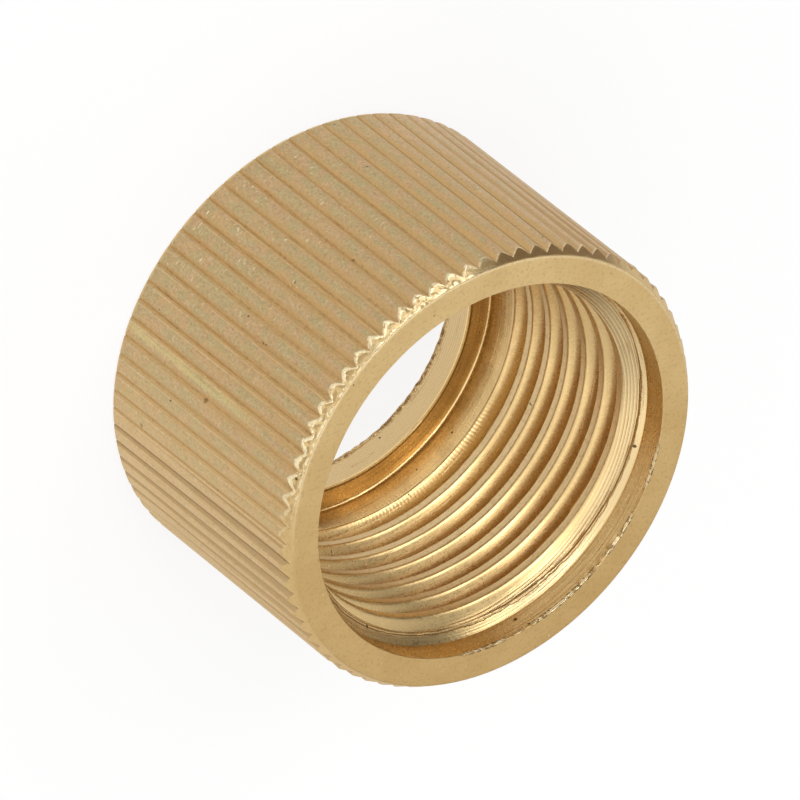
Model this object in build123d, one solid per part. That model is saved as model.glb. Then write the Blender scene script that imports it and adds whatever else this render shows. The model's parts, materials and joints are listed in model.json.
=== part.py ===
from build123d import *
from math import pi, radians, tan
import os

# Knurled thumb nut: one turned brass nut with an M20 x 1.5 threaded bore.
# The nut stands on its closed end, with its axis on Z and its mouth upwards.
# Z = 0 is the back face, and the origin is the centre of that face.

# Turned outside, mm
NUT_LENGTH = 14.9
RIM_WALL = 1.9  # from the plain mouth out to the knurl's crests
FRONT_CHAMFER_LENGTH = 0.64  # along the axis, at the mouth
FRONT_CHAMFER_HEIGHT = 0.40  # across the axis
BACK_CHAMFER_LENGTH = 0.31
BACK_CHAMFER_HEIGHT = 0.15

# Straight knurl
KNURL_PITCH = 1.0  # nominal, round the crests
KNURL_DEPTH = 0.25
KNURL_LAND = 0.34  # width left standing on each crest
FIRST_GROOVE_ANGLE = 1.6  # degrees from +X

# Bores
THREAD_DIAMETER = 20.0
CREST_ALLOWANCE = 0.12  # the drilled bore is this much over the basic minor diameter
MOUTH_CLEARANCE = 0.2  # the plain mouth is this much over the thread's diameter
MOUTH_DEPTH = 1.3
LEAD_IN_ANGLE = 45.0  # degrees, between the cone and the axis
FLOOR_THICKNESS = 1.7
BORE_CORNER_RADIUS = 0.15
THROUGH_HOLE_DIAMETER = 16.0

# Right-hand thread
THREAD_PITCH = 1.5
THREAD_ANGLE = 60.0  # degrees, between the flanks
PLAIN_BORE_LENGTH = 1.76  # from the floor up to where the groove's middle line starts
THREAD_START_ANGLE = 180.0  # degrees from +X
CUTTER_OVERREACH = 0.12  # how far the cutter stands back into the open bore

# An internal ISO thread's basic minor diameter is this many pitches under its diameter
MINOR_DIAMETER_PITCHES = 1.0825

thread_radius = THREAD_DIAMETER / 2
mouth_radius = (THREAD_DIAMETER + MOUTH_CLEARANCE) / 2
crest_radius = mouth_radius + RIM_WALL
bore_radius = (THREAD_DIAMETER - MINOR_DIAMETER_PITCHES * THREAD_PITCH + CREST_ALLOWANCE) / 2
through_radius = THROUGH_HOLE_DIAMETER / 2
mouth_floor = NUT_LENGTH - MOUTH_DEPTH
lead_in_end = mouth_floor - (mouth_radius - bore_radius) / tan(radians(LEAD_IN_ANGLE))
thread_start = FLOOR_THICKNESS + PLAIN_BORE_LENGTH
groove_count = round(2 * pi * crest_radius / KNURL_PITCH)


def turned_blank():
    """The nut's outside and its plain bore, from one half section turned round the axis."""
    corner = BORE_CORNER_RADIUS
    with BuildPart() as blank:
        with BuildSketch(Plane.XZ):
            with BuildLine():
                outside = Polyline(
                    (through_radius, FLOOR_THICKNESS),
                    (through_radius, 0),
                    (crest_radius - BACK_CHAMFER_HEIGHT, 0),
                    (crest_radius, BACK_CHAMFER_LENGTH),
                    (crest_radius, NUT_LENGTH - FRONT_CHAMFER_LENGTH),
                    (crest_radius - FRONT_CHAMFER_HEIGHT, NUT_LENGTH),
                    (bore_radius, NUT_LENGTH),
                    (bore_radius, FLOOR_THICKNESS + corner),
                )
                turn = RadiusArc(outside @ 1, (bore_radius - corner, FLOOR_THICKNESS), corner)
                Line(turn @ 1, outside @ 0)
            make_face()
        revolve(axis=Axis.Z)
    return blank.part


def thread_groove():
    """The helical groove, from its start over the floor up into the space that the mouth takes."""
    rise = mouth_floor + THREAD_PITCH / 8 - thread_start
    path = Helix(pitch=THREAD_PITCH, height=rise, radius=bore_radius, center=(0, 0, thread_start))
    depth = thread_radius - bore_radius
    half_root = THREAD_PITCH / 16
    half_opening = half_root + (depth + CUTTER_OVERREACH) * tan(radians(THREAD_ANGLE / 2))
    with BuildSketch(Plane(origin=path @ 0, x_dir=(1, 0, 0), z_dir=path % 0)) as section:
        Polygon(
            (depth, -half_root),
            (depth, half_root),
            (-CUTTER_OVERREACH, half_opening),
            (-CUTTER_OVERREACH, -half_opening),
            align=None,
        )
    return Rot(0, 0, THREAD_START_ANGLE) * sweep(section.sketch, path=path, is_frenet=True)


def mouth():
    """The plain mouth and the lead-in cone, turned after the thread."""
    with BuildPart() as opening:
        with BuildSketch(Plane.XZ):
            Polygon(
                (0, NUT_LENGTH),
                (mouth_radius, NUT_LENGTH),
                (mouth_radius, mouth_floor),
                (bore_radius, lead_in_end),
                (0, lead_in_end),
                align=None,
            )
        revolve(axis=Axis.Z)
    return opening.part


def knurl_grooves():
    """The V grooves between the knurl's ridges, from one end of the nut to the other."""
    spacing = 2 * pi * crest_radius / groove_count
    # The V is carried on past the crests, so that its mouth lies outside the nut.
    reach = 2 * KNURL_DEPTH
    half_reach = (spacing - KNURL_LAND) / 2 * reach / KNURL_DEPTH
    with BuildPart() as grooves:
        with BuildSketch():
            with PolarLocations(crest_radius - KNURL_DEPTH, groove_count, start_angle=FIRST_GROOVE_ANGLE):
                Polygon((0, 0), (reach, -half_reach), (reach, half_reach), align=None)
        extrude(amount=NUT_LENGTH)
    return grooves.part


def thumb_nut():
    nut = turned_blank() - knurl_grooves() - thread_groove() - mouth()
    nut.label = "thumb_nut"
    return nut


os.makedirs("parts", exist_ok=True)
export_step(thumb_nut(), "parts/thumb_nut.step")
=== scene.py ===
"""Knurled thumb nut in brass: the dressed nut and the plain studio it stands in.

The nut stands on its closed end, its axis is Z and its mouth is upwards. All lengths are metres, but the
materials work in millimetres. A turn is an angle from the X axis as a share of the full circle.
"""

from math import cos, radians, sin, tan, tau
import json

import bpy
from mathutils import Matrix, Vector


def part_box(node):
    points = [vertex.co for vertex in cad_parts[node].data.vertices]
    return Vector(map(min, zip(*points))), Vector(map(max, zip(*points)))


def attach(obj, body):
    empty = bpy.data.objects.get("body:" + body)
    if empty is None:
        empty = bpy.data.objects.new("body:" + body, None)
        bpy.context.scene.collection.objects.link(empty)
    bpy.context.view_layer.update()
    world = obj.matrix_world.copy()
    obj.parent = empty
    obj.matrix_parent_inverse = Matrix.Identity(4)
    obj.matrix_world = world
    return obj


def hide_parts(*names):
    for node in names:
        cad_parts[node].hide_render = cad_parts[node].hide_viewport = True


bl_info = {
    "name": "Knurled thumb nut",
    "version": (1, 0, 0),
    "blender": (4, 5, 0),
    "location": "3D View > Sidebar > Thumb nut",
    "description": "Makes a knurled brass thumb nut with an internal thread, and a plain studio for it",
    "category": "Object",
}

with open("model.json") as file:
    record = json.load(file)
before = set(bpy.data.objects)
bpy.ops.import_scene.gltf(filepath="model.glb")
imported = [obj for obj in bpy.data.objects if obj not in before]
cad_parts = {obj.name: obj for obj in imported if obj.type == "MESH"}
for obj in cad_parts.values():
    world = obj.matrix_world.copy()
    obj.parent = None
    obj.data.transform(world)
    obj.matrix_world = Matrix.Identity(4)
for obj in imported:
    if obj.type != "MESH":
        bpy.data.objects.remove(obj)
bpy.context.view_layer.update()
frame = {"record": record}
nut_low, nut_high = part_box("thumb_nut")
mounts = {mount["name"]: mount for mount in frame["record"]["mounts"]}

MM = 0.001
# Columns of the mesh across one ridge, from one groove's bottom to the next, as shares of the spacing.
RIDGE_COLUMNS = (0.0, 0.09, 0.2, 0.33, 0.5, 0.67, 0.8, 0.91)
# Share of a pitch over which the thread's groove fades in above its run-out height.
RUN_OUT_SHARE = 0.3
# Depth of the blasted surface and of the tool marks.
BLAST_RELIEF = 0.06 * MM
TOOL_RELIEF = 0.012 * MM
# Stretches round the nut, in turns: where a mark starts, is full, starts to fade and has ended.
BURRED_ENDS = (0.235, 0.27, 0.44, 0.50)
HIGHLIGHT_ENDS = (0.255, 0.272, 0.28, 0.38)
SCRATCHED_RIDGES = (0.24, 0.30, 0.35, 0.42)
BURRED_MOUTH = (-0.29, -0.26, -0.06, -0.02)
CHATTERED_THREAD = (-0.26, -0.21, -0.12, -0.07)
# The turn at which one ridge has a painted glint, a faint yellow sheen along it.
GLINT_TURN = 0.436
# Radius of the wall that the inside pits lie on, in millimetres.
PITTED_WALL = 9.7
# Dirt pits inside the nut: angle round the axis in degrees, and height and radius in millimetres.
INSIDE_PITS = (
    (281.9, 13.96, 0.11),
    (283.5, 14.72, 0.08),
    (231.0, 13.20, 0.08),
    (342.8, 13.42, 0.08),
    (312.6, 2.65, 0.07),
    (297.1, 2.56, 0.07),
    (308.7, 4.14, 0.08),
)
# Brown spots on the knurl, in the same way.
OUTSIDE_SPOTS = (
    (160.3, 6.9, 0.16),
    (177.6, 2.6, 0.12),
    (112.0, 9.6, 0.10),
)
# The studio's soft boxes: bearing, height over the horizon, strength and half width, angles in degrees.
SOFT_BOXES = (
    (105.0, 60.0, 4.2, 17.0),
    (63.0, 46.0, 3.4, 17.0),
    (250.0, 78.0, 0.8, 32.0),
    (160.0, 42.0, 0.9, 60.0),
    (337.0, 39.0, 0.8, 42.0),
    (238.0, 25.0, 0.7, 45.0),
)


def wall_radius(name):
    return mounts[name]["dims"]["r_mm"] * MM


def wall_length(name):
    return mounts[name]["dims"]["length_mm"] * MM


def length(name, description, default):
    return bpy.props.FloatProperty(
        name=name,
        description=description,
        default=default,
        min=0.0,
        unit="LENGTH",
        subtype="DISTANCE",
        precision=5,
    )


def share(name, description, default):
    return bpy.props.FloatProperty(
        name=name, description=description, default=default, min=0.0, max=1.0, subtype="FACTOR"
    )


def angle(name, description, degrees):
    return bpy.props.FloatProperty(
        name=name, description=description, default=radians(degrees), unit="ROTATION", subtype="ANGLE"
    )


def colour(name, description, default):
    return bpy.props.FloatVectorProperty(
        name=name, description=description, default=default, size=3, min=0.0, max=1.0, subtype="COLOR"
    )


class NutSizes(bpy.types.PropertyGroup):
    """Sizes of the nut, taken from the fixed frame where it has them."""

    crest_radius: length("Crest radius", "From the axis to the knurl's crests", (nut_high.y - nut_low.y) / 2)
    nut_length: length("Length", "From the back face to the rim", nut_high.z)
    front_chamfer_length: length("Front chamfer length", "Along the axis, at the mouth", 0.64 * MM)
    front_chamfer_height: length("Front chamfer height", "Across the axis, at the mouth", 0.40 * MM)
    back_chamfer_length: length("Back chamfer length", "Along the axis, at the closed end", 0.31 * MM)
    back_chamfer_height: length("Back chamfer height", "Across the axis, at the closed end", 0.15 * MM)
    edge_break: length("Edge break", "How far each turned edge is taken off", 0.05 * MM)
    ridges: bpy.props.IntProperty(name="Ridges", description="Ridges round the knurl", default=75, min=3)
    groove_depth: length("Groove depth", "Depth of the knurl's grooves", 0.25 * MM)
    ridge_land: share("Ridge land", "Share of a ridge that is left standing at its crest, at the mouth", 0.15)
    burr: length("Burr", "Height of the burrs that cutting has left on edges", 0.035 * MM)
    first_groove: angle("First groove", "Angle of one groove from the X axis", 1.6)
    mouth_radius: length("Mouth radius", "Plain wall at the mouth", wall_radius("mouth"))
    mouth_depth: length("Mouth depth", "From the rim to the lead-in cone", wall_length("mouth"))
    minor_radius: length("Minor radius", "From the axis to the thread's crests", wall_radius("thread"))
    major_radius: length("Major radius", "From the axis to the thread's roots", 10.0 * MM)
    pitch: length("Pitch", "From one turn of the thread to the next", 1.5 * MM)
    root_height: length("Root height", "Height of a thread root on the X axis", 1.2 * MM)
    runout_height: length("Run-out height", "Height at which the thread's groove has run out", 3.3 * MM)
    floor_thickness: length("Floor", "Thickness of the closed end", wall_length("through_hole"))
    hole_radius: length("Hole radius", "Hole through the closed end", wall_radius("through_hole"))


class NutFinish(bpy.types.PropertyGroup):
    """Colours and finish of the brass."""

    blasted: colour("Blasted brass", "Colour of the matt outside", (0.83, 0.62, 0.305))
    blasted_deep: colour("Deep blasted brass", "Colour where the outside is darker", (0.665, 0.445, 0.18))
    gold: colour("Plain bore", "Colour of the golden bore under the thread", (0.97, 0.72, 0.34))
    turned: colour("Turned brass", "Colour of the bright inside", (0.82, 0.59, 0.275))
    # The tarnish colour also serves for painted shade on the chamfer and in the knurl's grooves.
    tarnish_and_shade: colour("Tarnish", "Colour of the thin brown film", (0.34, 0.20, 0.08))
    ridges_green: colour("Greenish ridges", "One colour of the knurl's ridges", (0.62, 0.49, 0.26))
    ridges_pink: colour("Pinkish ridges", "Another colour of the knurl's ridges", (0.69, 0.48, 0.265))
    ridges_rosy: colour("Rosy ridges", "Colour of the paler ridges on the right", (0.95, 0.70, 0.50))
    # The groove colour also stands in for light bounced between the grooves' flanks: painted light.
    grooves: colour("Knurl grooves", "Colour of the brass in the knurl's grooves", (0.72, 0.485, 0.215))
    crest: colour("Thread crests", "Colour of the drilled crests of the thread", (0.86, 0.655, 0.355))
    # The colour of the painted glint along one ridge.
    tinge: colour("Yellow film", "Colour of the film on one ridge", (0.86, 0.76, 0.36))
    sparkle: colour("Sparkle", "Colour of bare burrs and scratches", (1.0, 0.87, 0.58))
    pits: colour("Pits", "Colour of the dirt in small pits", (0.05, 0.025, 0.01))
    outside_roughness: share("Outside roughness", "Roughness of the blasted brass", 0.58)
    inside_roughness: share("Inside roughness", "Roughness of the turned brass", 0.3)
    sparkles: share("Sparkles", "How strongly bare burrs and scratches show", 0.85)
    outside_pits: share("Outside pits", "How many small pits the outside has", 0.5)
    inside_pits: share("Inside pits", "How many small pits the inside has", 0.5)
    seed: bpy.props.IntProperty(name="Seed", description="Seed of the knurl's unevenness", default=7)


class StudioSettings(bpy.types.PropertyGroup):
    """Light, floor and camera."""

    view_azimuth: angle("View azimuth", "Bearing of the camera from the X axis", 130.77)
    view_elevation: angle("View elevation", "Height of the camera above the horizon", 43.15)
    view_roll: angle("View roll", "Turn of the camera about its line of sight", 128.42)
    view_distance: length("View distance", "From the camera to the nut", 814.0 * MM)
    lens: bpy.props.FloatProperty(name="Lens", description="Focal length in millimetres", default=763.1)
    aim_left: length("Aim left", "How far left of the mouth's middle the camera aims", 4.0404 * MM)
    aim_up: length("Aim up", "How far above the mouth's middle the camera aims", 3.1668 * MM)
    room_light: bpy.props.FloatProperty(name="Room light", description="Light of the bare room", default=0.12)
    floor: colour("Floor", "Colour of the floor", (0.96, 0.96, 0.96))
    floor_white: share("Floor white", "Share of the floor that stays plain white in view", 0.8)


# ---------------------------------------------------------------- node trees

# Kinds of the sockets that are not plain numbers, by name.
SOCKET_KINDS = {
    "Geometry": "NodeSocketGeometry",
    "Point": "NodeSocketVector",
    "Outside": "NodeSocketMaterial",
    "Inside": "NodeSocketMaterial",
}


class Wiring:
    """Adds nodes to one tree and joins them. Values may be sockets or plain numbers."""

    def __init__(self, tree):
        self.tree = tree

    def node(self, kind, *values, **settings):
        made = self.tree.nodes.new(kind)
        for name, value in settings.items():
            setattr(made, name, value)
        for socket, value in zip(made.inputs, values):
            self.put(socket, value)
        return made

    def put(self, socket, value):
        if isinstance(value, bpy.types.NodeSocket):
            self.tree.links.new(value, socket)
        else:
            socket.default_value = value

    def group(self, tree, *values):
        """A shader group with its inputs in order; returns its outputs."""
        made = self.tree.nodes.new("ShaderNodeGroup")
        made.node_tree = tree
        for socket, value in zip(made.inputs, values):
            self.put(socket, value)
        return made.outputs

    def marked(self, name):
        """The value that the mesh's points carry under a name."""
        if self.tree.bl_idname == "GeometryNodeTree":
            return self.node("GeometryNodeInputNamedAttribute", name, data_type="FLOAT").outputs[0]
        return self.node("ShaderNodeAttribute", attribute_name=name).outputs["Fac"]

    def maths(self, operation, *values):
        return self.node("ShaderNodeMath", *values, operation=operation).outputs[0]

    def in_turn(self, operation, first, *others):
        """Works on the first two values, then on the result and the third, and so on."""
        for other in others:
            first = self.maths(operation, first, other)
        return first

    def add(self, *values):
        return self.in_turn("ADD", *values)

    def mul(self, *values):
        return self.in_turn("MULTIPLY", *values)

    def most(self, *values):
        return self.in_turn("MAXIMUM", *values)

    def sub(self, a, b):
        return self.maths("SUBTRACT", a, b)

    def div(self, a, b):
        return self.maths("DIVIDE", a, b)

    def absolute(self, value):
        return self.maths("ABSOLUTE", value)

    def above(self, value, limit):
        """True where value is greater than limit, in a mesh tree."""
        return self.node("FunctionNodeCompare", value, limit, operation="GREATER_THAN").outputs[0]

    def clamp(self, value):
        return self.node("ShaderNodeClamp", value, 0.0, 1.0).outputs[0]

    def mix(self, factor, a, b):
        """a where factor is 0, b where it is 1."""
        return self.add(a, self.mul(self.clamp(factor), self.sub(b, a)))

    def smooth(self, value, low, high, to_low=0.0, to_high=1.0):
        """Smooth step from to_low to to_high while value goes from low to high."""
        made = self.node("ShaderNodeMapRange", value, low, high, to_low, to_high)
        made.interpolation_type = "SMOOTHSTEP"
        return made.outputs[0]

    def window(self, value, start, full, fading, end):
        """1 while value lies between full and fading, and 0 before start and after end."""
        return self.mul(self.smooth(value, start, full), self.smooth(value, end, fading))

    def split(self, vector):
        return self.node("ShaderNodeSeparateXYZ", vector).outputs

    def join(self, x, y, z):
        return self.node("ShaderNodeCombineXYZ", x, y, z).outputs[0]

    def vector(self, operation, *vectors):
        return self.node("ShaderNodeVectorMath", *vectors, operation=operation).outputs[0]

    def offset(self, vector, distance):
        return self.vector("ADD", vector, (distance, distance, distance))

    def scale(self, vector, factor):
        made = self.node("ShaderNodeVectorMath", vector, operation="SCALE")
        self.put(made.inputs["Scale"], factor)
        return made.outputs[0]

    def noise(self, vector, scale, detail, roughness):
        made = self.node("ShaderNodeTexNoise", vector)
        for name, value in (("Scale", scale), ("Detail", detail), ("Roughness", roughness)):
            self.put(made.inputs[name], value)
        return made.outputs[0]

    def coats(self, under, *layers):
        """Lays colours over one another. A layer is an amount with a socket or with red, green and blue."""
        for amount, over in layers:
            # This node's colours are its inputs 6 and 7 and its output 2.
            made = self.node("ShaderNodeMix", amount, data_type="RGBA")
            for socket, tint in ((made.inputs[6], under), (made.inputs[7], over)):
                self.put(socket, tint if isinstance(tint, bpy.types.NodeSocket) else (*tint, 1.0))
            under = made.outputs[2]
        return under


def new_tree(name, kind, inputs, outputs):
    """An empty node group, its wiring, its inputs and its outputs. inputs holds names with their defaults."""
    tree = bpy.data.node_groups.new(name, kind)
    for direction, labels in (("INPUT", inputs), ("OUTPUT", outputs)):
        for label in labels:
            socket_type = SOCKET_KINDS.get(label, "NodeSocketFloat")
            socket = tree.interface.new_socket(label, in_out=direction, socket_type=socket_type)
            if direction == "INPUT" and label not in SOCKET_KINDS:
                socket.default_value = inputs[label]
    given = tree.nodes.new("NodeGroupInput").outputs
    result = tree.nodes.new("NodeGroupOutput").inputs
    return tree, Wiring(tree), given, result


def run_modifier(obj, tree, values):
    """Puts a Geometry Nodes modifier on obj, with its inputs set by name through their identifiers."""
    modifier = obj.modifiers.new(tree.name, "NODES")
    modifier.node_group = tree
    for item in tree.interface.items_tree:
        if item.item_type == "SOCKET" and item.in_out == "INPUT" and item.name in values:
            modifier[item.identifier] = values[item.name]


def polar(w, point):
    """Radius, angle and height of each point."""
    x, y, z = w.split(point)
    return w.maths("SQRT", w.add(w.mul(x, x), w.mul(y, y))), w.maths("ARCTAN2", y, x), z


def place(w, geometry, selection, radius, turn, height):
    """Moves the selected points to the given radius, angle and height."""
    target = w.join(w.mul(radius, w.maths("COSINE", turn)), w.mul(radius, w.maths("SINE", turn)), height)
    return w.node("GeometryNodeSetPosition", geometry, selection, target).outputs[0]


def knurl_tree(values):
    """Presses a straight knurl into the outside, where each point knows its station along the profile.

    Station 0 is the back face's edge, 1 and 2 the ends of the knurl, and 3 the front face's edge.
    """
    inputs = {"Geometry": None, **values}
    tree, w, given, result = new_tree("Straight knurl", "GeometryNodeTree", inputs, ["Geometry"])
    crest, total, groove_depth = given["Crest radius"], given["Length"], given["Groove depth"]
    burr_height, seed = given["Burr"], given["Seed"]
    point = w.node("GeometryNodeInputPosition").outputs[0]
    _, turn, height = polar(w, point)
    station = w.marked("station")

    # The ridge that a point is on, from the first groove. The nudge puts a groove's point on its next ridge.
    nudge = 0.0005
    ridge = w.mul(w.div(w.sub(turn, given["First groove"]), tau), given["Ridges"])
    ridge = w.maths("FLOORED_MODULO", w.add(ridge, nudge), given["Ridges"])
    across = w.mul(w.absolute(w.sub(w.maths("FRACT", ridge), 0.5)), 2.0)
    # Each seed gives the ridges other numbers, and so another chance value.
    number = w.add(w.maths("FLOOR", ridge), w.mul(seed, 17.0))
    chance = w.node("FunctionNodeRandomValue", data_type="FLOAT")
    w.put(chance.inputs["ID"], w.node("FunctionNodeFloatToInt", number).outputs[0])
    uneven = chance.outputs[1]
    wander = w.noise(w.join(w.mul(number, 3.1), seed, w.mul(height, 90.0)), 1.0, 2.0, 0.5)

    # The wheel is pressed in deeper towards the mouth, so the lands narrow that way.
    press = w.mix(w.sub(station, 1.0), 0.5, 1.0)
    press = w.mul(press, w.add(0.82, w.mul(w.add(uneven, wander), 0.18)))
    land = w.sub(1.0, w.mul(w.sub(1.0, given["Ridge land"]), press))
    flank = w.clamp(w.div(w.sub(across, land), w.sub(1.0, land)))
    depth_here = w.mul(groove_depth, w.add(0.42, w.mul(press, 0.58)))
    crown = w.mul(groove_depth, w.mul(across, across, 0.04))
    # A thin burr stands up where the ridges end at the front chamfer.
    curl = w.noise(w.scale(point, 2600.0), 1.0, 2.0, 0.6)
    burr = w.mul(w.window(station, 1.93, 2.0, 2.02, 2.12), w.smooth(curl, 0.38, 0.60))
    sunk = w.mul(burr_height, w.sub(1.0, burr))
    depth = w.add(w.mul(flank, w.sub(depth_here, sunk)), crown, sunk)
    ridge_radius = w.sub(crest, depth)

    back_edge = w.maths("MINIMUM", w.sub(crest, given["Back chamfer height"]), ridge_radius)
    back_slope = w.div(given["Back chamfer length"], given["Back chamfer height"])
    back_end = w.most(w.sub(given["Back chamfer length"], w.mul(depth, back_slope)), 0.0)
    front_edge = w.add(w.sub(crest, given["Front chamfer height"]), w.mul(given["Edge break"], 0.5))
    front_top = w.sub(total, w.mul(given["Edge break"], 0.85))
    front_slope = w.div(given["Front chamfer length"], given["Front chamfer height"])
    front_start = w.add(w.sub(total, given["Front chamfer length"]), w.mul(depth, front_slope))
    # The burr there ends in a torn line, and more so on one side of the nut. It is some burr heights long.
    torn_middle, least, most = radians(140), 5.0, 17.0
    torn_line = w.noise(w.join(w.maths("COSINE", turn), w.maths("SINE", turn), seed), 34.0, 2.0, 0.6)
    torn_length = w.smooth(w.maths("COSINE", w.sub(turn, torn_middle)), 0.60, 0.72, least, most)
    front_start = w.add(front_start, w.mul(burr_height, w.mul(w.sub(torn_line, 0.5), torn_length)))

    on_back = w.clamp(w.sub(1.0, station))
    on_front = w.clamp(w.sub(station, 2.0))
    new_radius = w.mix(on_front, w.mix(on_back, ridge_radius, back_edge), front_edge)
    rough = w.mul(w.mul(on_front, w.sub(1.0, on_front)), w.mul(w.sub(curl, 0.5), 6.0))
    new_radius = w.add(new_radius, w.mul(burr_height, rough))
    new_height = w.mix(w.sub(station, 1.0), w.mul(w.clamp(station), back_end), front_start)
    new_height = w.mix(on_front, new_height, front_top)
    # Points with no station lie on the faces and inside.
    w.put(result[0], place(w, given["Geometry"], w.above(station, -0.5), new_radius, turn, new_height))
    return tree


def mouth_burr(w, turn):
    """How far round the mouth's inner edge its burr reaches."""
    return w.window(turn, *BURRED_MOUTH)


def thread_tree(values):
    """Cuts a right-hand thread into the bore and its lead-in cone, and ends with the materials set."""
    inputs = {"Geometry": None, **values}
    tree, w, given, result = new_tree("Internal thread", "GeometryNodeTree", inputs, ["Geometry"])
    pitch, minor, major = given["Pitch"], given["Minor radius"], given["Major radius"]
    root_height, runout = given["Root height"], given["Run-out height"]
    point = w.node("GeometryNodeInputPosition").outputs[0]
    radius, turn, height = polar(w, point)
    turns = w.div(turn, tau)
    # Turns of the helix from the root on the X axis; whole numbers lie on the groove's middle.
    helix = w.sub(w.div(w.sub(height, root_height), pitch), turns)
    nearest = w.maths("ROUND", helix)
    from_root = w.mul(w.absolute(w.sub(helix, nearest)), pitch)
    groove_height = w.add(root_height, w.mul(w.add(nearest, turns), pitch))

    # Flanks at 60 degrees to each other, from a flat root, with the corners a little rounded.
    root_flat = w.div(pitch, 16.0)
    groove = w.sub(major, w.mul(w.sub(from_root, root_flat), tan(radians(60))))
    groove = w.maths("SMOOTH_MIN", groove, major, w.mul(pitch, 0.07))
    depth = w.sub(groove, minor)
    # Below the run-out height the groove is gone, and it fades in over part of a pitch.
    kept = w.smooth(groove_height, runout, w.add(runout, w.mul(pitch, RUN_OUT_SHARE)))
    depth = w.sub(w.mul(depth, kept), w.mul(w.sub(1.0, kept), w.mul(pitch, 0.2)))
    new_radius = w.maths("SMOOTH_MAX", radius, w.add(minor, depth), w.mul(pitch, 0.09))
    cut = place(w, given["Geometry"], w.above(w.marked("bored"), 0.5), new_radius, turn, height)

    # Short torn lips on the edges that are marked as ragged, several times as high as the other burrs.
    tears = w.noise(w.scale(point, 3300.0), 1.0, 2.0, 0.6)
    patches = w.smooth(w.noise(w.scale(point, 300.0), 1.0, 1.0, 0.5), 0.38, 0.55)
    lip = w.mul(w.mul(w.marked("ragged"), patches), w.mul(w.sub(tears, 0.5), w.mul(given["Burr"], 9.0)))
    # The hole's burr goes all the way round, the mouth's only part of the way.
    half_way_up = 10.0 * MM
    x, y, z = w.split(point)
    lip = w.mul(lip, w.mix(w.maths("GREATER_THAN", z, half_way_up), 1.0, mouth_burr(w, turns)))
    torn = w.node("GeometryNodeSetPosition", cut)
    w.put(torn.inputs["Offset"], w.scale(w.vector("NORMALIZE", w.join(x, y, 0.0)), lip))

    whole = w.node("GeometryNodeRealizeInstances", torn.outputs[0]).outputs[0]
    coated = w.node("GeometryNodeSetMaterial", whole, True, given["Outside"]).outputs[0]
    is_inside = w.above(w.marked("inside"), 0.5)
    w.put(result[0], w.node("GeometryNodeSetMaterial", coated, is_inside, given["Inside"]).outputs[0])
    return tree


# ---------------------------------------------------------------- the turned blank


class Profile:
    """Rings of the nut's half section, in order, each with its own facts for the node trees."""

    def __init__(self):
        self.rings = []

    def ring(self, radius, height, fine=True, station=-1.0, bored=0.0, inside=0.0, ragged=0.0):
        self.rings.append((radius, height, fine, station, bored, inside, ragged))

    def run(self, end, steps, **facts):
        """Rings in a straight line from the last one to end, without the last one."""
        start = self.rings[-1][:2]
        for step in range(1, steps + 1):
            part = step / steps
            self.ring(start[0] + (end[0] - start[0]) * part, start[1] + (end[1] - start[1]) * part, **facts)


def half_section(sizes):
    """The nut's section, from the hole's back edge out over the knurl and in down the bore."""
    edge, crest, top, minor = sizes.edge_break, sizes.crest_radius, sizes.nut_length, sizes.minor_radius
    mouth, hole, floor_top = sizes.mouth_radius, sizes.hole_radius, sizes.floor_thickness
    mouth_floor = top - sizes.mouth_depth
    cone_end = mouth_floor - (mouth - minor)
    plain_top = sizes.runout_height - sizes.pitch / 2
    profile = Profile()

    # Back face, from the hole outwards; the coarse rings lie next to the hole.
    profile.ring(hole + edge, 0.0, fine=False)
    profile.run((hole + (crest - hole) * 0.5, 0.0), 3, fine=False)
    profile.run((crest - 2.5 * sizes.groove_depth, 0.0), 3)

    # Outside, which the knurl shapes by station.
    stations = [0, 0.5, 1] + [1 + step / 16 for step in range(1, 16)]
    stations += [1.96, 1.985, 2, 2.04, 2.1, 2.2, 2.35, 2.5, 2.65, 2.8, 2.92, 3]
    for station in stations:
        profile.ring(crest, top * station / 3, station=station)

    # Front face and the plain mouth. Their edges are given in edge breaks, outwards and down.
    for outwards, down in ((0.1, 0.3), (-0.4, 0.05), (-1.0, 0.0)):
        profile.ring(crest - sizes.front_chamfer_height + outwards * edge, top - down * edge)
    profile.run((mouth + 3 * edge, top), 5)
    for outwards, down, torn in ((1.6, 0.0, 0.3), (0.7, 0.0, 0.8), (0.2, 0.4, 1.0)):
        profile.ring(mouth + outwards * edge, top - down * edge, ragged=torn)
    for down, torn in ((1.2, 1.0), (2.2, 0.8), (3.4, 0.4), (5.0, 0.0)):
        profile.ring(mouth, top - down * edge, inside=1.0, ragged=torn)
    profile.run((mouth, mouth_floor), 6, fine=False, inside=1.0)

    # Lead-in cone and bore, dense where the thread is.
    step = sizes.pitch / 26
    for above, below in ((mouth_floor, cone_end), (cone_end, plain_top)):
        profile.run((minor, below), round((above - below) / step), fine=False, bored=1.0, inside=1.0)
    corner = 3 * edge
    profile.run((minor, floor_top + corner), 5, fine=False, inside=1.0)
    for degrees in (30, 60, 90):
        inwards, upwards = corner * (1 - cos(radians(degrees))), corner * (1 - sin(radians(degrees)))
        profile.ring(minor - inwards, floor_top + upwards, fine=False, inside=1.0)

    # Shoulder and the hole through the floor.
    profile.run((hole + 1.5 * edge, floor_top), 5, fine=False, inside=1.0)
    for outwards, down in ((0.4, 0.3), (0.0, 1.5)):
        profile.ring(hole + outwards * edge, floor_top - down * edge, fine=False, inside=1.0)
    profile.run((hole, 7 * edge), 6, fine=False, inside=1.0)
    # The last of the hole, where a burr has been pushed inwards.
    for up, torn, inwards in ((5.0, 0.3, 0.4), (3.5, 0.7, 1.0), (2.0, 1.0, 1.6), (0.8, 1.0, 2.0)):
        profile.ring(hole - inwards * sizes.burr, up * edge, fine=False, inside=1.0, ragged=torn)
    return profile.rings


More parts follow.
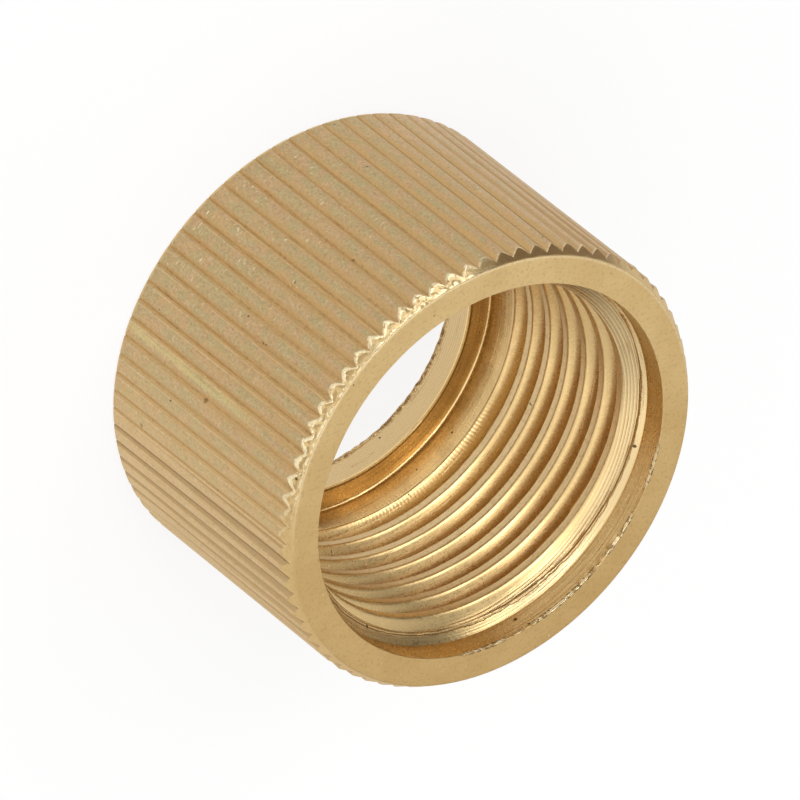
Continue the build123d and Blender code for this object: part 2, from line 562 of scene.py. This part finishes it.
def turned_blank(sizes):
    """The turned nut as one closed mesh. Its outside has twice the columns of its bore."""
    rings = half_section(sizes)
    spacing = tau / sizes.ridges
    places = [ridge + part for ridge in range(sizes.ridges) for part in RIDGE_COLUMNS]
    columns = [sizes.first_groove + spacing * place_round for place_round in places]
    points, facts, faces, starts = [], [], [], []
    for radius, height, fine, *ring_facts in rings:
        starts.append(len(points))
        for turn in columns if fine else columns[::2]:
            points.append((radius * cos(turn), radius * sin(turn), height))
            facts.append(ring_facts)
    for index, ring in enumerate(rings):
        following = (index + 1) % len(rings)
        join_rings(faces, starts[index], ring[2], starts[following], rings[following][2], len(columns))
    mesh = bpy.data.meshes.new("knurled_nut")
    mesh.from_pydata(points, [], faces)
    for number, name in enumerate(("station", "bored", "inside", "ragged")):
        values = mesh.attributes.new(name, "FLOAT", "POINT").data
        values.foreach_set("value", [row[number] for row in facts])
    mesh.update()
    return mesh


def join_rings(faces, first, first_fine, second, second_fine, columns):
    """Quads between two like rings, and triangles where one has half the other's columns."""
    for column in range(0, columns, 1 if first_fine and second_fine else 2):
        if first_fine == second_fine:
            step = 1 if first_fine else 2
            a = column // step
            b = (column // step + 1) % (columns // step)
            faces.append((first + a, first + b, second + b, second + a))
            continue
        near, middle, far = column, column + 1, (column + 2) % columns
        a, b = column // 2, (column // 2 + 1) % (columns // 2)
        if first_fine:
            faces.append((first + near, first + middle, second + a))
            faces.append((first + middle, first + far, second + b))
            faces.append((first + middle, second + b, second + a))
        else:
            faces.append((first + a, second + middle, second + near))
            faces.append((first + b, second + far, second + middle))
            faces.append((first + a, first + b, second + middle))


# ---------------------------------------------------------------- materials


def lathe_coordinates():
    """Where a point of the nut lies, in millimetres, turns and millimetres."""
    outputs = ["Point", "Radius", "Turn", "Height"]
    tree, w, _, result = new_tree("Lathe coordinates", "ShaderNodeTree", {}, outputs)
    point = w.scale(w.tree.nodes.new("ShaderNodeTexCoord").outputs["Object"], 1.0 / MM)
    radius, turn, height = polar(w, point)
    for name, value in zip(outputs, (point, radius, w.div(turn, tau), height)):
        w.put(result[name], value)
    return tree


def grain_and_pits():
    """Unevenness that all the brass shares: slow tone, fine grain, small pits and bright specks."""
    inputs, outputs = {"Point": None, "Pits": 0.5}, ["Tone", "Grain", "Pits", "Specks"]
    tree, w, given, result = new_tree("Grain and pits", "ShaderNodeTree", inputs, outputs)
    point = given["Point"]
    w.put(result["Tone"], w.smooth(w.noise(point, 0.35, 3.0, 0.6), 0.3, 0.7))
    w.put(result["Grain"], w.smooth(w.noise(point, 5.5, 3.0, 0.65), 0.25, 0.75))
    spots = w.noise(w.offset(point, 31.0), 1.9, 2.0, 0.5)
    limit = w.sub(0.80, w.mul(given["Pits"], 0.08))
    w.put(result["Pits"], w.smooth(spots, limit, w.add(limit, 0.03)))
    specks = w.noise(w.offset(point, 57.0), 4.5, 1.0, 0.5)
    w.put(result["Specks"], w.smooth(specks, 0.77, 0.82))
    return tree


def knurl_marks():
    """Across each ridge from its crest (0) to the groove (1), its two sides, and a chance value for each."""
    inputs = {"Turn": 0.0, "Ridges": 75.0, "First groove": 0.0}
    tree, w, given, result = new_tree("Knurl marks", "ShaderNodeTree", inputs, ["Across", "Side", "Chance"])
    ridge = w.mul(w.sub(given["Turn"], given["First groove"]), given["Ridges"])
    ridge = w.maths("FLOORED_MODULO", ridge, given["Ridges"])
    part = w.sub(w.maths("FRACT", ridge), 0.5)
    w.put(result["Across"], w.mul(w.absolute(part), 2.0))
    w.put(result["Side"], w.mul(part, 2.0))
    chance = w.node("ShaderNodeTexWhiteNoise", noise_dimensions="1D")
    w.put(chance.inputs["W"], w.maths("FLOOR", ridge))
    w.put(result["Chance"], chance.outputs["Value"])
    return tree


def thread_marks():
    """Along one pitch from the groove's middle (0) to the middle of the crest (1)."""
    inputs = {"Turn": 0.0, "Height": 0.0, "Pitch": 1.5, "Root height": 1.2}
    tree, w, given, result = new_tree("Thread marks", "ShaderNodeTree", inputs, ["Across"])
    helix = w.sub(w.div(w.sub(given["Height"], given["Root height"]), given["Pitch"]), given["Turn"])
    w.put(result["Across"], w.mul(w.absolute(w.sub(helix, w.maths("ROUND", helix))), 2.0))
    return tree


def tool_lines():
    """Rings that a turning tool leaves: uneven lines, deep scores and even feed marks, each from 0 to 1."""
    inputs = {"Point": None, "Along": 0.0, "Lines per mm": 12.0}
    outputs = ["Lines", "Scores", "Feed marks"]
    tree, w, given, result = new_tree("Tool lines", "ShaderNodeTree", inputs, outputs)
    feeds_per_mm = 6.5
    x, y, _ = w.split(given["Point"])
    along = w.mul(given["Along"], given["Lines per mm"])
    lines = w.noise(w.join(w.mul(x, 0.12), w.mul(y, 0.12), along), 1.0, 2.0, 0.6)
    w.put(result["Lines"], w.smooth(lines, 0.3, 0.7))
    scores = w.noise(w.join(w.mul(x, 0.3), w.mul(y, 0.3), w.mul(along, 0.55)), 1.0, 1.0, 0.5)
    w.put(result["Scores"], w.smooth(scores, 0.66, 0.72))
    wobble = w.noise(w.join(w.mul(x, 0.25), w.mul(y, 0.25), given["Along"]), 1.0, 1.0, 0.5)
    feed = w.maths("SINE", w.mul(w.add(given["Along"], w.mul(wobble, 0.12)), tau * feeds_per_mm))
    w.put(result["Feed marks"], w.smooth(feed, -0.8, 0.9))
    return tree


def single_spots(name, spots, wall):
    """The spots of a list, each small and uneven, on a wall of the given radius."""
    inputs = {"Point": None, "Turn": 0.0, "Height": 0.0}
    tree, w, given, result = new_tree(name, "ShaderNodeTree", inputs, ["Spots"])
    uneven = w.mul(w.sub(w.noise(given["Point"], 6.0, 1.0, 0.5), 0.5), 0.12)
    total = 0.0
    for degrees, height, size in spots:
        turns = degrees / 360.0 - (1.0 if degrees > 180.0 else 0.0)
        sideways = w.mul(w.sub(given["Turn"], turns), tau * wall)
        upwards = w.sub(given["Height"], height)
        distance = w.maths("SQRT", w.add(w.mul(sideways, sideways), w.mul(upwards, upwards)))
        total = w.most(total, w.smooth(w.add(distance, uneven), size, size * 0.6))
    w.put(result["Spots"], total)
    return tree


def knurl_sparkle():
    """Short bare scratches across the ridges, most of them on the upper side towards the closed end."""
    inputs = {"Point": None, "Turn": 0.0, "Height": 0.0}
    tree, w, given, result = new_tree("Knurl sparkle", "ShaderNodeTree", inputs, ["Scratches"])
    x, y, z = w.split(given["Point"])
    scratches = w.noise(w.join(w.mul(x, 2.2), w.mul(y, 2.2), w.mul(z, 8.0)), 1.0, 2.0, 0.6)
    upper = w.mul(w.window(given["Turn"], *SCRATCHED_RIDGES), w.smooth(given["Height"], 12.0, 6.0))
    patches = w.smooth(w.noise(given["Point"], 0.8, 2.0, 0.6), 0.45, 0.6)
    where = w.mul(w.add(0.12, w.mul(upper, 0.88)), patches)
    w.put(result["Scratches"], w.mul(w.smooth(scratches, 0.60, 0.70), where))
    return tree


def ridge_ends():
    """The marks on the ends of the ridges at the mouth, where the mesh's station runs from 2 to 3.

    Curls are the burr that curls round the ends, with the burr on the rim. Shadows beside them are partly
    painted shadow and partly brown dirt. The third output is painted shade on one side of the nut, and Bright
    is a painted highlight on the stretch of chamfer next to it.
    """
    outputs = ["Curls", "Shadows", "Shade", "Bright"]
    tree, w, given, result = new_tree("Ridge ends", "ShaderNodeTree", {"Point": None, "Turn": 0.0}, outputs)
    station, point, turn = w.marked("station"), given["Point"], given["Turn"]
    spots = w.noise(point, 4.0, 2.0, 0.6)
    upper = w.window(turn, *BURRED_ENDS)
    wobble = w.mul(w.sub(w.noise(w.offset(point, 5.0), 2.6, 2.0, 0.6), 0.5), 0.8)
    torn_station = w.add(station, wobble)
    curl = w.mul(w.smooth(station, 1.987, 1.996), w.smooth(torn_station, 2.26, 2.16))
    curl = w.mul(curl, w.smooth(spots, 0.38, 0.48))
    rim = w.mul(w.smooth(torn_station, 2.72, 2.86), w.smooth(spots, 0.42, 0.5))
    # Beyond the upper side the burr is only a thin outline at the very ends of the ridges.
    outline = w.mul(w.window(station, 1.99, 1.998, 2.02, 2.06), w.smooth(spots, 0.40, 0.50))
    beyond = w.mul(w.smooth(turn, 0.12, 0.15), w.mul(w.sub(1.0, upper), 0.55))
    outline = w.mul(outline, beyond, w.smooth(turn, 0.55, 0.45))
    w.put(result["Curls"], w.most(w.mul(w.most(curl, rim), upper), outline))
    # Brown marks beside the curls: partly painted shadow, partly brown dirt.
    shadow = w.mul(w.window(station, 2.2, 2.3, 2.6, 2.74), w.smooth(spots, 0.44, 0.54), upper)
    w.put(result["Shadows"], shadow)
    # Painted highlight: a pale stretch of the chamfer next to the painted shade.
    bright = w.mul(w.window(turn, *HIGHLIGHT_ENDS), w.window(station, 2.0, 2.06, 2.96, 3.0))
    w.put(result["Bright"], w.mul(bright, w.smooth(spots, 0.36, 0.50)))
    # Painted shade: a dark stretch of the chamfer on one side of the nut.
    chamfer_shade = w.mul(w.smooth(turn, 0.12, 0.16), w.smooth(w.add(turn, w.mul(wobble, 0.03)), 0.268, 0.235))
    w.put(result["Shade"], w.mul(chamfer_shade, w.window(station, 2.0, 2.06, 2.9, 2.99)))
    return tree


def chatter_ribs():
    """Short ribs across the last turn of the thread, where the tool has chattered on its way out."""
    inputs = {"Turn": 0.0, "Height": 0.0, "Low": 3.2, "High": 4.2}
    tree, w, given, result = new_tree("Chatter ribs", "ShaderNodeTree", inputs, ["Ribs"])
    ribs_round, fade = 290.0, 0.25
    low, high = given["Low"], given["High"]
    wave = w.maths("SINE", w.mul(given["Turn"], tau * ribs_round))
    band = w.window(given["Height"], low, w.add(low, fade), w.sub(high, fade), high)
    reach = w.window(given["Turn"], *CHATTERED_THREAD)
    w.put(result["Ribs"], w.mul(w.smooth(wave, -0.6, 0.9), w.mul(band, reach)))
    return tree


def torn_edges():
    """Where the mesh is marked as ragged: dark tears, bright lips, and edges torn right through."""
    outputs = ["Tears", "Lips", "Torn"]
    tree, w, given, result = new_tree("Torn edges", "ShaderNodeTree", {"Point": None, "Where": 1.0}, outputs)
    ragged = w.marked("ragged")
    patches = w.smooth(w.noise(given["Point"], 0.5, 1.0, 0.5), 0.30, 0.45)
    spots = w.noise(given["Point"], 4.5, 2.0, 0.6)
    where = w.mul(w.smooth(ragged, 0.2, 0.6), patches, given["Where"])
    beside = w.mul(w.window(ragged, 0.1, 0.3, 0.75, 0.95), patches, given["Where"])
    w.put(result["Tears"], w.mul(w.smooth(spots, 0.47, 0.53), beside))
    w.put(result["Lips"], w.mul(w.smooth(spots, 0.58, 0.52), w.mul(w.smooth(ragged, 0.55, 0.8), where)))
    w.put(result["Torn"], w.mul(w.smooth(spots, 0.50, 0.55), where))
    return tree


def new_metal(name):
    """A brass material, its wiring and its shader."""
    material = bpy.data.materials.new(name)
    material.use_nodes = True
    shader = material.node_tree.nodes["Principled BSDF"]
    shader.inputs["Metallic"].default_value = 1.0
    return material, Wiring(material.node_tree), shader


def bump(w, shader, height, depth, rolled):
    """Gives the shader a relief of the given depth. Where it is rolled over it faces upwards more."""
    made = w.tree.nodes.new("ShaderNodeBump")
    made.inputs["Distance"].default_value = depth
    w.put(made.inputs["Height"], height)
    tilted = w.vector("ADD", made.outputs["Normal"], w.join(0.0, 0.0, rolled))
    w.put(shader.inputs["Normal"], w.vector("NORMALIZE", tilted))


def blasted_brass(sizes, finish, groups):
    """The matt outside: knurl, chamfers and both end faces."""
    material, w, shader = new_metal("Blasted brass")
    point, radius, turn, height = w.group(groups["lathe"])
    tone, grain, pits, specks = w.group(groups["grain"], point, finish.outside_pits)
    first = sizes.first_groove / tau
    across, side, chance = w.group(groups["knurl"], turn, float(sizes.ridges), first)
    (scratches,) = w.group(groups["sparkle"], point, turn, height)
    (brown,) = w.group(groups["brown"], point, turn, height)
    curls, shadows, chamfer_shade, bright = w.group(groups["ends"], point, turn)
    tears, lips, _ = w.group(groups["torn"], point, mouth_burr(w, turn))
    x, y, z = w.split(point)
    streaks = w.noise(w.join(w.mul(x, 6.0), w.mul(y, 6.0), w.mul(z, 0.35)), 1.0, 3.0, 0.6)
    speckle = w.noise(w.offset(point, 11.0), 6.5, 3.0, 0.8)
    hue = w.noise(w.offset(point, 23.0), 1.1, 3.0, 0.6)

    # Where on the nut a point lies.
    station = w.marked("station")
    knurled = w.window(station, 0.9, 1.0, 1.99, 2.02)
    chamfer = w.smooth(station, 2.0, 2.1)
    crest = sizes.crest_radius / MM
    groove = w.smooth(radius, crest - 0.065, crest - 0.13)
    rim_edge = crest - sizes.front_chamfer_height / MM
    # A thin line along the front face's outer edge, on one side, is painted pale: a painted highlight.
    rim = w.mul(w.smooth(radius, rim_edge - 0.16, rim_edge - 0.05), w.smooth(station, -0.2, -0.6))
    rim = w.mul(rim, w.smooth(y, -1.0, 4.0), w.smooth(height, 14.0, 14.5))
    right_side = w.smooth(turn, 0.25, 0.16)
    # Where the grooves are painted in shade.
    shaded_right = w.smooth(turn, 0.20, 0.14)
    lower_left = w.smooth(y, 6.0, -3.0)
    # The plain brass of the outside is painted lighter towards +Y: painted light. Besides this it has a slow
    # random tone.
    lit_side = w.mul(w.smooth(y, -11.0, 10.0), 0.65)
    face = w.coats(finish.blasted_deep, (w.add(w.mul(tone, 0.35), lit_side), finish.blasted))

    # The ridges are paler and rosier on the right, and nearer to the plain brass at the lower left.
    # The groove bottoms are painted darker, most on the right and on some ridges more than others: painted
    # shade.
    crease_shade = w.add(w.mul(chance, 0.35), w.add(w.mul(right_side, 0.55), w.mul(lower_left, 0.12)))
    # One side of each groove has a thin painted highlight, which comes and goes.
    beside = w.smooth(w.absolute(w.sub(side, w.sub(-0.5, w.mul(chance, 0.25)))), 0.10, 0.02)
    beside = w.mul(beside, w.smooth(streaks, 0.35, 0.5), w.add(0.12, w.mul(chance, 0.28)))
    # One ridge has a painted glint, a faint yellow sheen along it.
    tinge = w.mul(w.smooth(w.absolute(w.sub(turn, GLINT_TURN)), 0.004, 0.001), w.smooth(height, 12.0, 8.0))
    ridges = w.coats(
        finish.ridges_pink,
        (w.smooth(hue, 0.38, 0.60), finish.ridges_green),
        (w.mul(w.smooth(speckle, 0.52, 0.30), 0.38), finish.tarnish_and_shade),
        (w.mul(w.smooth(speckle, 0.52, 0.72), 0.35), finish.sparkle),
        (w.mul(right_side, 0.3), finish.ridges_rosy),
        (w.mul(lower_left, 0.62), face),
        (w.mul(w.smooth(streaks, 0.50, 0.64), w.add(0.3, w.mul(chance, 0.4))), finish.grooves),
        # The grooves are painted a deeper orange: painted bounce light between their flanks.
        (w.mul(groove, w.add(0.55, w.mul(chance, 0.4))), finish.grooves),
        # Painted shade at the bottoms of the grooves.
        (w.mul(w.smooth(across, 0.84, 0.97), crease_shade), finish.tarnish_and_shade),
        # Painted highlight beside the grooves.
        (beside, finish.sparkle),
        (w.mul(brown, 0.9), finish.tarnish_and_shade),
        # Painted shade in the grooves on the right.
        (w.mul(groove, shaded_right, 0.4), finish.tarnish_and_shade),
        # Painted glint along one ridge.
        (w.mul(tinge, w.smooth(streaks, 0.3, 0.5), 0.42), finish.tinge),
        (w.mul(lower_left, 0.08), finish.sparkle),
    )

    # Bare metal: scratches on the ridges, burrs and specks. It is smoother than the rest. Its pale sparkle
    # colour is partly bare brass and partly a painted glint.
    rolled = w.mul(curls, w.sub(1.0, w.mul(bright, 0.4)))
    scratched = w.mul(scratches, knurled, w.sub(1.0, groove))
    bare = w.most(scratched, rolled, lips, w.mul(specks, 0.5))
    base = w.coats(
        face,
        (knurled, ridges),
        # Painted highlight on the rim.
        (w.mul(rim, 0.35), finish.sparkle),
        (w.mul(w.smooth(grain, 0.45, 0.1), 0.22), finish.tarnish_and_shade),
        # Painted shade on that stretch of the chamfer.
        (w.mul(chamfer_shade, 0.92), finish.tarnish_and_shade),
        # Painted shadow and brown dirt beside the curls, lighter where the painted highlight is.
        (w.mul(shadows, w.sub(0.55, w.mul(bright, 0.4))), finish.tarnish_and_shade),
        # Painted highlight on the chamfer, in the crest colour.
        (w.mul(bright, 0.75), finish.crest),
        # Bare metal, painted pale: partly painted glint.
        (w.mul(bare, finish.sparkles), finish.sparkle),
        (w.mul(w.most(pits, tears), 0.75), finish.pits),
    )
    w.put(shader.inputs["Base Color"], base)
    rough = w.sub(w.add(finish.outside_roughness - 0.06, w.mul(grain, 0.12)), w.mul(bare, 0.2))
    w.put(shader.inputs["Roughness"], w.sub(rough, w.mul(chamfer, 0.12)))
    blast = w.mul(grain, w.add(0.13, w.mul(knurled, 0.47)))
    sunk = w.sub(pits, w.sub(w.mul(bare, 0.5), w.mul(curls, 0.35)))
    relief = w.sub(w.add(blast, w.mul(streaks, knurled, 0.5)), sunk)
    bump(w, shader, relief, BLAST_RELIEF, w.add(w.mul(bright, 0.33), w.mul(curls, chamfer, 0.05)))
    return material


def turned_brass(sizes, finish, groups):
    """The bright inside: mouth, lead-in cone, thread, bore, shoulder and hole."""
    material, w, shader = new_metal("Turned brass")
    point, radius, turn, height = w.group(groups["lathe"])
    tone, grain, pits, _ = w.group(groups["grain"], point, finish.inside_pits)
    pitch, low, hole = sizes.pitch / MM, sizes.runout_height / MM, sizes.hole_radius / MM
    floor_top, mouth_floor = sizes.floor_thickness / MM, (sizes.nut_length - sizes.mouth_depth) / MM
    (across,) = w.group(groups["thread"], turn, height, pitch, sizes.root_height / MM)
    lines, scores, feed = w.group(groups["tool"], point, w.add(height, w.mul(radius, 0.5)), 9.0)
    (single,) = w.group(groups["pits"], point, turn, height)
    (ribs,) = w.group(groups["chatter"], turn, w.sub(height, w.mul(turn, pitch)), low - 0.1, low + 0.7)

    # Where on the nut a point lies.
    threaded = w.window(height, low, low + RUN_OUT_SHARE * pitch, mouth_floor - 0.9, mouth_floor)
    crest = w.mul(w.smooth(across, 0.66, 0.74), threaded)
    cone = w.window(height, *(mouth_floor - drop for drop in (1.1, 0.8, 0.1, 0.0)))
    low_cone = w.window(height, *(mouth_floor - drop for drop in (1.05, 0.85, 0.4, 0.3)))
    in_hole = w.smooth(radius, hole + 0.02, hole)
    plain_bore = w.mul(w.smooth(height, low + 0.4, low - 0.2), w.sub(1.0, in_hole))
    on_shoulder = w.mul(w.smooth(height, floor_top + 0.03, floor_top), w.sub(1.0, in_hole))
    at_mouth = w.smooth(height, mouth_floor, mouth_floor + 0.5)
    tears, lips, torn = w.group(groups["torn"], point, w.mix(at_mouth, 1.0, mouth_burr(w, turn)))
    # A rough line runs round the lead-in cone, a little higher on one side.
    line_height = w.add(mouth_floor - 0.25, w.mul(turn, 0.46))
    wander = w.mul(w.sub(w.noise(point, 2.0, 2.0, 0.6), 0.5), 0.12)
    cone_line = w.mul(w.smooth(w.absolute(w.add(w.sub(height, line_height), wander)), 0.05, 0.01), cone)
    # The hole's upper edge is painted with a highlight, with a painted dark line of shade beside it.
    from_hole = w.sub(radius, hole)
    upper_edge = w.smooth(height, floor_top - 0.19, floor_top - 0.13)
    edge_line = w.mul(upper_edge, w.smooth(from_hole, 0.06, 0.10), w.smooth(from_hole, 0.20, 0.16))

    mottle = w.noise(w.offset(point, 41.0), 5.0, 3.0, 0.75)
    blotch = w.smooth(w.noise(w.offset(point, 77.0), 0.6, 3.0, 0.65), 0.42, 0.62)
    dirt = w.most(pits, single)
    base = w.coats(
        finish.turned,
        (w.mul(tone, 0.12), finish.tarnish_and_shade),
        (w.mul(w.smooth(across, 0.35, 0.0), w.mul(threaded, 0.10)), finish.tarnish_and_shade),
        (crest, finish.crest),
        (w.mul(w.smooth(mottle, 0.52, 0.32), w.mul(w.add(crest, in_hole), 0.3)), finish.tarnish_and_shade),
        (w.mul(plain_bore, 0.8), finish.gold),
        (w.mul(plain_bore, w.mul(blotch, 0.25)), finish.tarnish_and_shade),
        (w.mul(lines, 0.08), finish.tarnish_and_shade),
        # The lead-in cone is painted paler on one side: a painted highlight.
        (w.mul(cone, w.smooth(turn, -0.26, -0.19), 0.25), finish.sparkle),
        (w.mul(cone, scores, 0.3), finish.tarnish_and_shade),
        (w.mul(low_cone, feed, 0.35), finish.tarnish_and_shade),
        (w.mul(in_hole, 0.75), finish.crest),
        (w.mul(in_hole, w.add(0.2, w.mul(feed, 0.14))), finish.tarnish_and_shade),
        (w.mul(on_shoulder, 0.88), finish.tarnish_and_shade),
        # Painted highlight on the hole's upper edge.
        (w.mul(upper_edge, w.smooth(from_hole, 0.08, 0.05), 0.85), finish.gold),
        # Painted shade beside it, in the dark colour of the pits.
        (w.mul(edge_line, 0.6), finish.pits),
        (w.mul(cone_line, 0.45), finish.tarnish_and_shade),
        (w.mul(torn, in_hole, 0.85), finish.tarnish_and_shade),
        # Bare lips of the mouth's burr, painted pale: partly painted glint.
        (w.mul(lips, w.mul(at_mouth, 0.85)), finish.sparkle),
        (w.mul(w.most(dirt, w.mul(tears, w.mul(at_mouth, 0.45))), 0.88), finish.pits),
    )
    w.put(shader.inputs["Base Color"], base)
    rough = w.add(finish.inside_roughness - 0.05, w.add(w.mul(grain, 0.08), w.mul(crest, 0.12)))
    w.put(shader.inputs["Roughness"], w.add(rough, w.mul(lips, 0.4)))
    # The thread is smoother than the cone and the bore.
    even = w.sub(1.0, w.mul(threaded, w.sub(0.85, w.mul(cone, 0.85))))
    relief = w.add(
        w.mul(lines, w.mul(even, 0.5)),
        w.mul(scores, even, -0.9),
        w.mul(feed, w.add(w.mul(in_hole, 0.5), low_cone), 0.8),
        w.mul(lips, 2.0),
        w.mul(grain, w.sub(0.22, w.mul(threaded, 0.1))),
    )
    relief = w.add(w.sub(relief, dirt), w.sub(w.mul(ribs, 0.6), w.mul(w.most(tears, cone_line), 1.5)))
    bump(w, shader, relief, TOOL_RELIEF, w.mul(lips, at_mouth, 0.9))
    return material


# ---------------------------------------------------------------- operators

# Sizes that each of the nut's trees takes.
KNURL_SIZES = (
    "crest_radius",
    "nut_length",
    "ridges",
    "groove_depth",
    "ridge_land",
    "first_groove",
    "front_chamfer_length",
    "front_chamfer_height",
    "back_chamfer_length",
    "back_chamfer_height",
    "edge_break",
    "burr",
)
THREAD_SIZES = ("pitch", "minor_radius", "major_radius", "root_height", "runout_height", "burr")
# Edges that turn by more degrees than this stay sharp.
SHARP_FROM = 38.0


def named_values(group, names):
    """Some of a group's sizes, under the names that the sidebar shows."""
    return {group.bl_rna.properties[name].name: float(getattr(group, name)) for name in names}


class NUT_OT_turn(bpy.types.Operator):
    """Turn, knurl and thread the nut"""

    bl_idname = "nut.turn"
    bl_label = "Make the nut"

    def execute(self, context):
        sizes = context.scene.nut_sizes
        finish = context.scene.nut_finish
        groups = {
            "lathe": lathe_coordinates(),
            "grain": grain_and_pits(),
            "knurl": knurl_marks(),
            "thread": thread_marks(),
            "tool": tool_lines(),
            "chatter": chatter_ribs(),
            "torn": torn_edges(),
            "pits": single_spots("Single pits", INSIDE_PITS, PITTED_WALL),
            "brown": single_spots("Brown spots", OUTSIDE_SPOTS, sizes.crest_radius / MM),
            "sparkle": knurl_sparkle(),
            "ends": ridge_ends(),
        }
        blank = bpy.data.objects.new("turned_blank", turned_blank(sizes))
        context.scene.collection.objects.link(blank)
        knurl = named_values(sizes, KNURL_SIZES) | {"Seed": float(finish.seed)}
        run_modifier(blank, knurl_tree(knurl), knurl)
        thread = named_values(sizes, THREAD_SIZES)
        thread["Outside"] = blasted_brass(sizes, finish, groups)
        thread["Inside"] = turned_brass(sizes, finish, groups)
        run_modifier(blank, thread_tree(thread), thread)
        evaluated = blank.evaluated_get(context.evaluated_depsgraph_get())
        mesh = bpy.data.meshes.new_from_object(evaluated)
        bpy.data.objects.remove(blank)
        mesh.name = "knurled_nut"
        for polygon in mesh.polygons:
            polygon.use_smooth = True
        mesh.set_sharp_from_angle(angle=radians(SHARP_FROM))
        nut = bpy.data.objects.new("knurled_nut", mesh)
        context.scene.collection.objects.link(nut)
        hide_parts("thumb_nut")
        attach(nut, "root")
        return {"FINISHED"}


class NUT_OT_studio(bpy.types.Operator):
    """Lay the floor, the light and the camera"""

    bl_idname = "nut.studio"
    bl_label = "Make the studio"

    def execute(self, context):
        studio = context.scene.nut_studio
        lay_floor(context, studio)
        light_studio(context, studio)
        set_camera(context, studio)
        return {"FINISHED"}


def lay_floor(context, studio):
    """A wide floor under the nut."""
    half_width = 1.2
    corners = [(x * half_width, y * half_width, 0.0) for x, y in ((-1, -1), (1, -1), (1, 1), (-1, 1))]
    mesh = bpy.data.meshes.new("floor")
    mesh.from_pydata(corners, [], [(0, 1, 2, 3)])
    floor = bpy.data.objects.new("floor", mesh)
    context.scene.collection.objects.link(floor)
    material = bpy.data.materials.new("Floor")
    material.use_nodes = True
    shader = material.node_tree.nodes["Principled BSDF"]
    shader.inputs["Base Color"].default_value = (*studio.floor, 1.0)
    shader.inputs["Roughness"].default_value = 0.9
    # To the camera, and in metal, most of the floor is plain white; the rest carries the nut's shadow.
    w = Wiring(material.node_tree)
    path = w.tree.nodes.new("ShaderNodeLightPath").outputs
    seen = w.add(path["Is Camera Ray"], path["Is Glossy Ray"], path["Is Transmission Ray"])
    white = w.tree.nodes.new("ShaderNodeEmission")
    both = w.node("ShaderNodeMixShader", w.mul(w.clamp(seen), studio.floor_white))
    w.put(both.inputs[1], shader.outputs[0])
    w.put(both.inputs[2], white.outputs[0])
    w.put(material.node_tree.nodes["Material Output"].inputs["Surface"], both.outputs[0])
    mesh.materials.append(material)


def direction_to(azimuth, elevation):
    """The direction at a bearing from the X axis and a height over the horizon."""
    return Vector((cos(azimuth) * cos(elevation), sin(azimuth) * cos(elevation), sin(elevation)))


def light_studio(context, studio):
    """A pale room with soft boxes, each a round patch of light that fades towards its edge."""
    world = bpy.data.worlds.new("Studio")
    context.scene.world = world
    world.use_nodes = True
    background = world.node_tree.nodes["Background"]
    background.inputs["Color"].default_value = (1.0, 1.0, 1.0, 1.0)
    w = Wiring(world.node_tree)
    direction = w.tree.nodes.new("ShaderNodeTexCoord").outputs["Generated"]
    total = studio.room_light
    full_share = 0.35  # Share of a box's half width that is at full strength
    for azimuth, elevation, strength, spread in SOFT_BOXES:
        towards = direction_to(radians(azimuth), radians(elevation))
        facing = w.node("ShaderNodeVectorMath", direction, towards, operation="DOT_PRODUCT").outputs["Value"]
        patch = w.smooth(facing, cos(radians(spread)), cos(radians(spread * full_share)))
        total = w.add(total, w.mul(patch, strength))
    w.put(background.inputs["Strength"], total)


def set_camera(context, studio):
    """The camera looks down on the mouth, turned about its own line of sight."""
    camera = bpy.data.cameras.new("camera")
    camera.lens = studio.lens
    camera.sensor_width = 36.0
    camera.clip_start = 0.05
    camera.clip_end = 10.0
    sizes = context.scene.nut_sizes
    target = Vector((0.0, 0.0, sizes.nut_length - sizes.front_chamfer_length))
    back = direction_to(studio.view_azimuth, studio.view_elevation)
    right = Vector((0, 0, 1)).cross(back).normalized()
    up = back.cross(right)
    turned_right = right * cos(studio.view_roll) + up * sin(studio.view_roll)
    turned_up = back.cross(turned_right)
    # The mouth lies a little right of and below the middle of the picture.
    aim = turned_up * studio.aim_up - turned_right * studio.aim_left
    matrix = Matrix((turned_right, turned_up, back)).transposed().to_4x4()
    matrix.translation = target + aim + back * studio.view_distance
    holder = bpy.data.objects.new("camera", camera)
    holder.matrix_world = matrix
    context.scene.collection.objects.link(holder)
    context.scene.camera = holder


class NUT_PT_panel(bpy.types.Panel):
    """Lists the nut's operators and sizes"""

    bl_label = "Thumb nut"
    bl_idname = "NUT_PT_panel"
    bl_space_type = "VIEW_3D"
    bl_region_type = "UI"
    bl_category = "Thumb nut"

    def draw(self, context):
        for operator in OPERATORS:
            self.layout.operator(operator.bl_idname)
        for group in (context.scene.nut_sizes, context.scene.nut_finish, context.scene.nut_studio):
            box = self.layout.box()
            for name in group.bl_rna.properties.keys():
                if name not in ("rna_type", "name"):
                    box.prop(group, name)


OPERATORS = (NUT_OT_turn, NUT_OT_studio)
CLASSES = (NutSizes, NutFinish, StudioSettings, *OPERATORS, NUT_PT_panel)


def register():
    for cls in CLASSES:
        bpy.utils.register_class(cls)
    bpy.types.Scene.nut_sizes = bpy.props.PointerProperty(type=NutSizes)
    bpy.types.Scene.nut_finish = bpy.props.PointerProperty(type=NutFinish)
    bpy.types.Scene.nut_studio = bpy.props.PointerProperty(type=StudioSettings)


def unregister():
    del bpy.types.Scene.nut_studio
    del bpy.types.Scene.nut_finish
    del bpy.types.Scene.nut_sizes
    for cls in reversed(CLASSES):
        bpy.utils.unregister_class(cls)


def main():
    register()
    bpy.context.scene.view_settings.view_transform = "Standard"
    bpy.ops.nut.turn()
    bpy.ops.nut.studio()


if __name__ == "__main__":
    main()
